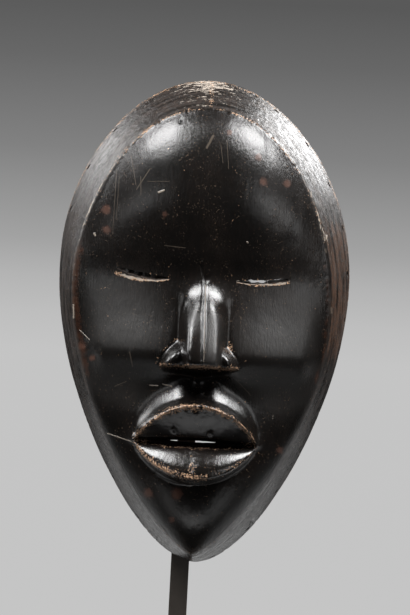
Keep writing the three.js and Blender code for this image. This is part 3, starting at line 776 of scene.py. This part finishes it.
def roughenMask(made):
    # the knife's marks, then nothing past the solid's box
    zoneOf = [item.value for item in made.data.attributes["zone"].data]
    normals = [v.normal.copy() for v in made.data.vertices]
    low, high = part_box("dan_mask")
    for v, zone, normal in zip(made.data.vertices, zoneOf, normals):
        x, y, depth = toMask(v.co)
        if zone < 2:
            v.co += normal * carveMarks(x, y, depth, zone == 1) * mm
        elif depth > 0.5:
            adzed = waves(x, y, depth, knife["adze"]) + waves(x, y, 0, knife["adzeRipples"]) - knife["sunk"]
            v.co += normal * adzed * mm
        v.co = Vector(min(max(value, a), b) for value, a, b in zip(v.co, low, high))
    cornerX, cornerY, cornerSize = softening["mouthCorner"]
    underX, underY, underSize = softening["underNose"]
    sideX, sideSize = softening["noseSide"]
    soft = made.vertex_groups.new(name="softCrease")
    for v, zone in zip(made.data.vertices, zoneOf):
        x, y, depth = toMask(v.co)
        ledge = (1 - abs(x - creaseMiddle(y)) / max(eggHalf(creaseEgg, y), 1e-6)) * eggHalf(creaseEgg, y)
        weight = hump(ledge, softening["crease"]) * (1 - ease(70, 120, y)) if zone < 2 and depth > 3 else 0.0
        if zone == 0:
            corner = hump(math.hypot(abs(x) - cornerX, y - cornerY), cornerSize)
            under = hump(math.hypot(x - underX, y - underY), underSize)
            side = hump(abs(x - carving["ridgeShift"]) - sideX, sideSize)
            side *= ease(104, 112, y) * (1 - ease(132, 140, y))
            weight = max(weight, corner * ease(mouthHalf, mouthHalf + 2, abs(x)), under, side)
        soft.add([v.index], weight, "REPLACE")
    applyModifier(made, "SMOOTH", factor=softening["factor"], iterations=softening["passes"],
                  vertex_group="softCrease")
    made.vertex_groups.clear()
    for name in ("station", "zone"):
        made.data.attributes.remove(made.data.attributes[name])


# slits, in mm: both ends, half height, and how far the cut climbs through the wall, along its length
slits = {
    "leftEye": {"span": (-eyeOuter, -eyeInner), "half": 1.4, "climb": [(0, 5), (1, 5)]},
    "rightEye": {"span": (eyeInner, eyeOuter), "half": 0.9,
                 "climb": [(0, 3), (0.2, 2.4), (0.28, 1.0), (0.35, 0.9), (0.5, 0.9), (0.57, 1.9), (0.7, 2.0),
                           (0.9, 2.0), (1, 3)]},
    "mouth": {"span": (-0.17 * halfWidth, 0.14 * halfWidth), "half": 0.42, "climb": [(0, 0), (1, 0)],
              "lift": 0.85},
}
# depths of the cutters in front of the rim: where they start, where the climb is level, and their reach
slitDepths = {"front": 70, "face": 48, "reach": 65}


def slitCutter(name, plan):
    start, end = plan["span"]
    climb = stationCurve(plan["climb"])
    deselectAll()
    bpy.ops.mesh.primitive_grid_add(x_subdivisions=48, y_subdivisions=2, size=2)
    cutter = bpy.context.object
    cutter.data.materials.append(cutFinish)
    bpy.ops.object.mode_set(mode="EDIT")
    bm = bmesh.from_edit_mesh(cutter.data)
    for v in bm.verts:
        # across the middle line of the slit, with a ragged edge
        t, edge = (v.co.x + 1) / 2, v.co.y
        ragged = 1 + 0.35 * noise.noise(Vector((t * 9, edge * 3, start)))
        ragged += 0.2 * noise.noise(Vector((t * 30, edge * 3, end)))
        x = lerp(start, end, t)
        line = mouthLine + plan["lift"] if name == "mouth" else slitMiddle(x)
        v.co = toWorld(x, line + edge * plan["half"] * slitArch(t) * ragged, slitDepths["front"])
    bpy.ops.mesh.select_all(action="SELECT")
    bpy.ops.mesh.extrude_region_move(TRANSFORM_OT_translate={"value": (0, slitDepths["reach"] * mm, 0)})
    bm = bmesh.from_edit_mesh(cutter.data)
    for v in bm.verts:
        rise = climb(share(start, end, toMask(v.co)[0])) / carving["wall"] * mm
        if v.select:
            v.co.z += slitDepths["reach"] * rise
        v.co.z -= (slitDepths["front"] - slitDepths["face"]) * rise
    faceOutwards()
    bpy.ops.mesh.quads_convert_to_tris()
    bpy.ops.object.mode_set(mode="OBJECT")
    return cutter


def holeCutter():
    # one drill, copied round the border at even steps
    loop = [Vector((x, y)) for x, y in loopOn(rimEgg, rimMiddle)]
    lengths = [0.0]
    for a, b in zip(loop, loop[1:] + loop[:1]):
        lengths.append(lengths[-1] + (b - a).length)
    drills = []
    n = 0
    for hole in range(carving["holes"]):
        place = (hole + 0.5) / carving["holes"] * lengths[-1]
        while lengths[n + 1] < place:
            n += 1
        a, b = loop[n], loop[(n + 1) % len(loop)]
        at, along = a.lerp(b, (place - lengths[n]) / (lengths[n + 1] - lengths[n])), (b - a).normalized()
        turned = Vector((along.y, 0, -along.x)).to_track_quat("Z", "Y").to_euler()
        deselectAll()
        bpy.ops.mesh.primitive_cylinder_add(
            vertices=carving["holeSides"], radius=carving["holeWidth"] / 2 * mm,
            depth=carving["drillLength"] * mm,
            location=toWorld(at.x, at.y, carving["holeInset"]), rotation=turned)
        drills.append(bpy.context.object)
    for drill in drills:
        drill.select_set(True)
    bpy.ops.object.join()
    cutter = bpy.context.object
    cutter.data.materials.append(cutFinish)
    applyPlace(cutter)
    return cutter


def paintMask(made):
    # where the patina is worn, spotted, polished, rusty, dull or pale, painted at each vertex; pale also
    # holds a painted highlight along the upper crease
    names = ("wear", "spots", "band", "polish", "rust", "dull", "pale")
    for name in names:
        made.data.attributes.new(name, "FLOAT", "POINT")
    layers = {name: made.data.attributes[name].data for name in names}
    for n, v in enumerate(made.data.vertices):
        x, y, depth = toMask(v.co)
        half = max(eggHalf(creaseEgg, y), 1e-6)
        out = abs(x - creaseMiddle(y)) / half
        inMouth = 1 - ease(mouthHalf - 1, mouthHalf + 2, abs(x))
        ledge = (1 - out) * half
        onBorder = out > 1.003 or y > creaseEgg["high"] or y < creaseEgg["low"]
        eyeEdge = 0.0
        wear = hump(y - upperEdge(x) + 1.1, 2.1) * inMouth * 0.62
        wear = max(wear, hump(y - lowerEdge(x) - 1.1, 2.2) * inMouth * (0.6 if x < 7 else 0.34))
        wear = max(wear, hump(y - mouthLine, 1.6) * ease(20, 27, abs(x)) * inMouth * 0.5)
        wear = max(wear, hump(x + 1, 2.0) * hump(y - lowerEdge(0) - 7, 6) * 0.36)
        wear = max(wear, hump(y - mouthLine + gapHalf(x), 0.7) * inMouth * 0.42)
        if abs(x) < noseHalf + 1:
            wear = max(wear, hump(y - noseBase, 1.4) * 0.62)
        if noseBase < y < noseBase + 20 and -26 < x < -nostrilMiddle:
            wear = max(wear, hump(wingLevel(x, y) - 1.26, 0.07) * 0.5)
        wear = max(wear, hump(math.hypot(x - 15, (y - 107.5) / 1.8), 1.7) * 0.62)
        if eyeInner < abs(x) < eyeOuter:
            opening = slits["leftEye" if x < 0 else "rightEye"]["half"]
            opening *= slitArch(share(eyeInner, eyeOuter, abs(x)))
            underEye, overEye = slitMiddle(x) - y - opening, y - slitMiddle(x) - opening
            wear = max(wear, hump(underEye - 0.4, 0.8) * 0.75, hump(overEye - 0.1, 0.4) * 0.36)
            eyeEdge = hump(underEye - 0.15, 0.55)
        wear = max(wear, hump(ledge, 1.6) * ease(185, 205, y) * 0.52)
        wear = max(wear, hump(ledge, 1.2) * 0.3 * ease(140, 170, y))
        wear = max(wear, hump(ledge, 1.2) * 0.34 * (1 - ease(10, 40, y)))
        if onBorder:
            wear = max(wear * 0.8, hump(depth, 5.0) * ease(160, 190, y) * 0.5, hump(depth, 1.5) * 0.42)
        crownFlakes = hump(x + 4, 18) * ease(228, 237, y) * 0.6 + hump(x - 30, 14) * ease(215, 225, y) * 0.3
        crownFlakes = max(crownFlakes, hump(x + 4, 26) * 0.3 * ease(222, 228, y)) if onBorder else 0.0
        # a painted highlight: a pale line along the crease on the upper face, kept off the middle of the
        # crown and, on the left, off the crown
        creaseHighlight = hump(ledge + 0.2, 0.8) * ease(150, 165, y)
        if x < 0:
            creaseHighlight *= 1 - ease(196, 206, y)
        layers["pale"][n].value = max(crownFlakes, 0.62 * creaseHighlight * (1 - hump(x + 2, 8)), eyeEdge)
        layers["wear"][n].value = wear
        spots = max(hump(math.hypot(x - sx, y - sy), radius) for sx, sy, radius in marks["spots"])
        layers["spots"][n].value = 0 if onBorder else spots
        layers["band"][n].value = 1.0 if onBorder else hump(ledge, 0.8)
        mouth = math.exp(-((x / 34) ** 4 + ((y - mouthLine - 3) / 27) ** 4))
        ridge = math.exp(-((x / 17) ** 4 + ((y - 116) / 28) ** 4))
        layers["polish"][n].value = 1 - ease(80, 120, y) if onBorder else max(mouth, ridge)
        if onBorder:
            rust = ease(88, 110, y) * (1 - ease(165, 190, y)) * (0.85 if x > 0 else 0.4)
        else:
            rust = hump(ledge - 1.5, 3.5) * ease(80, 95, y) * (1 - ease(150, 172, y))
            rust *= 0.8 if x < 0 else 0.6
        layers["rust"][n].value = rust
        cheek = hump(y - 111, 24 if y > 111 else 9) * hump(abs(x) - 40, 21) * (1 - ease(0.86, 1.0, out))
        below = hump(y - 90, 12) * hump(abs(x) - 40, 22)
        noseTop = hump(x - 6.5, 4.5) * (1 - ease(119, 128, y)) * ease(noseBase, noseBase + 2, y) * 1.3
        noseTop = max(noseTop, hump(x + 4, 4) * hump(y - 121, 6) * 0.9)
        notch = hump(x + 1, 2.4) * hump(y - lowerEdge(0) - 7, 6) * 0.5
        layers["dull"][n].value = 0.0 if onBorder else max(cheek, below, noseTop, notch)


def sharpenCuts(made):
    # hard edges where the finish changes
    bm = bmesh.new()
    bm.from_mesh(made.data)
    for line in bm.edges:
        if len({face.material_index for face in line.link_faces}) > 1:
            line.smooth = False
    bm.to_mesh(made.data)
    bm.free()


mask = carveMask()
roughenMask(mask)
print("mask carved", len(mask.data.vertices))
cutters = [slitCutter(name, plan) for name, plan in slits.items()] + [holeCutter()]
pickOnly(cutters[0])
for cutter in cutters:
    cutter.select_set(True)
bpy.ops.object.join()
combine(mask, cutters[0], operation="DIFFERENCE", solver="MANIFOLD", material_mode="TRANSFER")
paintMask(mask)
pickOnly(mask)
bpy.ops.object.shade_smooth()
sharpenCuts(mask)
print("mask cut and painted", len(mask.data.polygons))


# the stand's rod: a square bar, bent forward at the top into a rest for the mask, in mm
rodSizes = {"bar": 9.0, "bend": 14.0, "bendSteps": 16, "restRadius": 4.0, "restLength": 36.0,
            "restSides": 48, "soften": 0.5, "softSteps": 3, "sharpFrom": 40}


def forgeRod():
    low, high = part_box("stand_rod")
    half, bend = rodSizes["bar"] / 2 * mm, rodSizes["bend"] * mm
    armHeight, reach = high.z - half, -low.y - rodSizes["restRadius"] * mm
    post = armHeight - bend - low.z
    deselectAll()
    bpy.ops.mesh.primitive_cube_add(size=1, location=(0, 0, low.z + post / 2),
                                    scale=(2 * half, 2 * half, post))
    rod = bpy.context.object
    rod.name = "standRod"
    applyPlace(rod)
    bpy.ops.object.mode_set(mode="EDIT")
    bpy.ops.mesh.select_mode(type="FACE")
    bpy.ops.mesh.select_all(action="DESELECT")
    # the post's top is opened, and its edge is spun forward and drawn out into the arm
    bm = bmesh.from_edit_mesh(rod.data)
    for face in bm.faces:
        face.select = face.normal.z > 0.9
    bpy.ops.mesh.region_to_loop()
    bpy.ops.mesh.delete(type="ONLY_FACE")
    bm = bmesh.from_edit_mesh(rod.data)
    for line in bm.edges:
        line.select = all(v.co.z > armHeight - bend - 1e-5 for v in line.verts)
    bpy.ops.mesh.spin(steps=rodSizes["bendSteps"], angle=math.radians(-90), axis=(1, 0, 0),
                      center=(0, -bend, armHeight - bend))
    bpy.ops.mesh.extrude_edges_indiv()
    bpy.ops.transform.translate(value=(0, -(reach - bend), 0))
    bpy.ops.mesh.edge_face_add()
    faceOutwards()
    bpy.ops.object.mode_set(mode="OBJECT")
    deselectAll()
    bpy.ops.mesh.primitive_cylinder_add(
        vertices=rodSizes["restSides"], radius=rodSizes["restRadius"] * mm,
        depth=rodSizes["restLength"] * mm,
        location=(carving["toRight"] * mm, -reach, armHeight), rotation=(0, math.radians(90), 0))
    bar = bpy.context.object
    applyPlace(bar)
    combine(rod, bar, operation="UNION", solver="EXACT")
    applyModifier(rod, "BEVEL", width=rodSizes["soften"] * mm, segments=rodSizes["softSteps"],
                  limit_method="ANGLE", angle_limit=math.radians(rodSizes["sharpFrom"]))
    return rod


# the stand's foot: a block with a socket for the rod, in mm
footSizes = {"edge": 1.0, "edgeSteps": 4, "socket": 9.6, "socketDepth": 8.0}


def forgeFoot():
    low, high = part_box("stand_foot")
    deselectAll()
    bpy.ops.mesh.primitive_cube_add(size=1, location=(low + high) / 2, scale=high - low)
    foot = bpy.context.object
    foot.name = "standFoot"
    applyPlace(foot)
    bpy.ops.object.mode_set(mode="EDIT")
    bpy.ops.mesh.select_all(action="SELECT")
    bpy.ops.mesh.bevel(offset=footSizes["edge"] * mm, segments=footSizes["edgeSteps"], affect="EDGES")
    bpy.ops.object.mode_set(mode="OBJECT")
    deselectAll()
    wide, deep = footSizes["socket"] * mm, footSizes["socketDepth"] * mm
    bpy.ops.mesh.primitive_cube_add(size=1, location=(0, 0, high.z), scale=(wide, wide, 2 * deep))
    socket = bpy.context.object
    applyPlace(socket)
    combine(foot, socket, operation="DIFFERENCE", solver="EXACT")
    return foot


rod, foot = forgeRod(), forgeFoot()
for thing in (rod, foot):
    thing.data.materials.clear()
    thing.data.materials.append(steelFinish)
    pickOnly(thing)
    bpy.ops.object.shade_smooth_by_angle(angle=math.radians(30))
for thing, node, slotName in ((mask, "dan_mask", "patinated_wood"), (rod, "stand_rod", "dark_steel"),
                              (foot, "stand_foot", "dark_steel")):
    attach(thing, "root")
    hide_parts(node)
print("stand forged")


# the floor, the room and the lamps, in m and watts. The backdrop goes from the picture's foot to its top,
# and the room's light changes along an axis between two values
studio = {
    "floorRadius": 0.42, "floorPlain": 0.25, "floorDrop": 0.0002, "floorGrey": 0.2,
    "aim": (0.004, -0.06, 0.22), "backdropReach": 0.0191,
    "room": [("Y", -0.2, 0.9, 0.01, 1.0), ("Z", -0.36, -0.17, 1.0, 0.0)],
    "backdrop": [(0.0, 0.558), (0.42, 0.552), (0.48, 0.515), (0.54, 0.451), (0.6, 0.361), (0.75, 0.2195),
                 (0.9, 0.1356), (1.0, 0.1)],
    "lamps": {  # place, size and watts
        "card": ((0.004, -0.137, 0.015), (0.14, 0.045), 0.025),
        "cardLeft": ((-0.12, -0.13, 0.02), (0.1, 0.09), 0.012),
        "cardRight": ((0.13, -0.13, 0.02), (0.1, 0.09), 0.016),
        "topLeft": ((-0.7, -0.5, 1.21), (0.7, 0.7), 30),
        "topRight": ((0.72, -0.42, 1.22), (0.7, 0.7), 34),
        "flankLeft": ((-1.03, 0.28, 0.7), (0.6, 0.6), 7),
        "sideLeft": ((-0.8, -0.92, 0.4), (0.6, 0.3), 0.8),
        "sideRight": ((0.84, -0.86, 0.42), (0.5, 0.3), 1.2),
        "rightRim": ((0.6, 0.95, 0.8), (0.4, 0.5), 8.5),
        "leftRim": ((-0.62, 0.95, 0.67), (0.26, 0.28), 1.8),
    },
}


def layFloor():
    deselectAll()
    bpy.ops.mesh.primitive_circle_add(vertices=96, radius=studio["floorRadius"], fill_type="NGON",
                                      location=(0, 0, -studio["floorDrop"]))
    floor = bpy.context.object
    floor.name = "paleFloor"
    applyPlace(floor)
    f = Finish(bpy.data.materials.new("palePaper"))
    away = f.vector("LENGTH", f.place, (0, 0, 0), out="Value")
    paper = f.node("ShaderNodeBsdfDiffuse", {}, {"Color": (*[studio["floorGrey"]] * 3, 1)})
    clear = f.node("ShaderNodeBsdfTransparent")
    fade = f.step(studio["floorPlain"] * studio["floorRadius"], studio["floorRadius"], away)
    mixed = f.node("ShaderNodeMixShader", {}, {0: fade, 1: paper, 2: clear})
    f.node("ShaderNodeOutputMaterial", {}, {"Surface": mixed})
    floor.data.materials.append(f.owner)
    floor.visible_glossy = floor.visible_diffuse = False


def paintRoom():
    # the camera sees a backdrop that darkens upwards. The object is lit by a room that is dark in front
    # and above, and grey behind towards the floor
    world = bpy.data.worlds.new("studioGrey")
    bpy.context.scene.world = world
    f = Finish(world)
    way = f.node("ShaderNodeTexCoord", out="Generated")
    axes = {axis: f.node("ShaderNodeSeparateXYZ", {}, {0: way}, out=axis) for axis in ("Y", "Z")}
    spread = f.node("ShaderNodeMapRange", {}, {"Value": axes["Z"], "From Min": -studio["backdropReach"],
                                               "From Max": studio["backdropReach"]})
    stops = [(position, (grey, grey, grey)) for position, grey in studio["backdrop"]]
    backdrop = f.node("ShaderNodeValToRGB", {"stops": stops}, {"Fac": spread})
    parts = []
    for axis, low, high, start, end in studio["room"]:
        parts.append(f.node("ShaderNodeMapRange", {"interpolation_type": "SMOOTHSTEP"},
                            {"Value": axes[axis], "From Min": low, "From Max": high,
                             "To Min": start, "To Max": end}))
    seen = f.node("ShaderNodeLightPath", out="Is Camera Ray")
    glow = f.node("ShaderNodeBackground", {}, {"Color": f.mix(seen, parts[0] * parts[1], backdrop)})
    f.node("ShaderNodeOutputWorld", {}, {"Surface": glow})


def hangLamps():
    target = Vector(studio["aim"])
    for name, (place, size, watts) in studio["lamps"].items():
        deselectAll()
        bpy.ops.object.light_add(type="AREA", location=place)
        made = bpy.context.object
        made.name = name
        made.data.shape = "ELLIPSE"
        made.data.size, made.data.size_y = size
        made.data.energy = watts
        made.visible_camera = False
        made.rotation_euler = (target - Vector(place)).to_track_quat("-Z", "Y").to_euler()


layFloor()
paintRoom()
hangLamps()
print("studio lit")
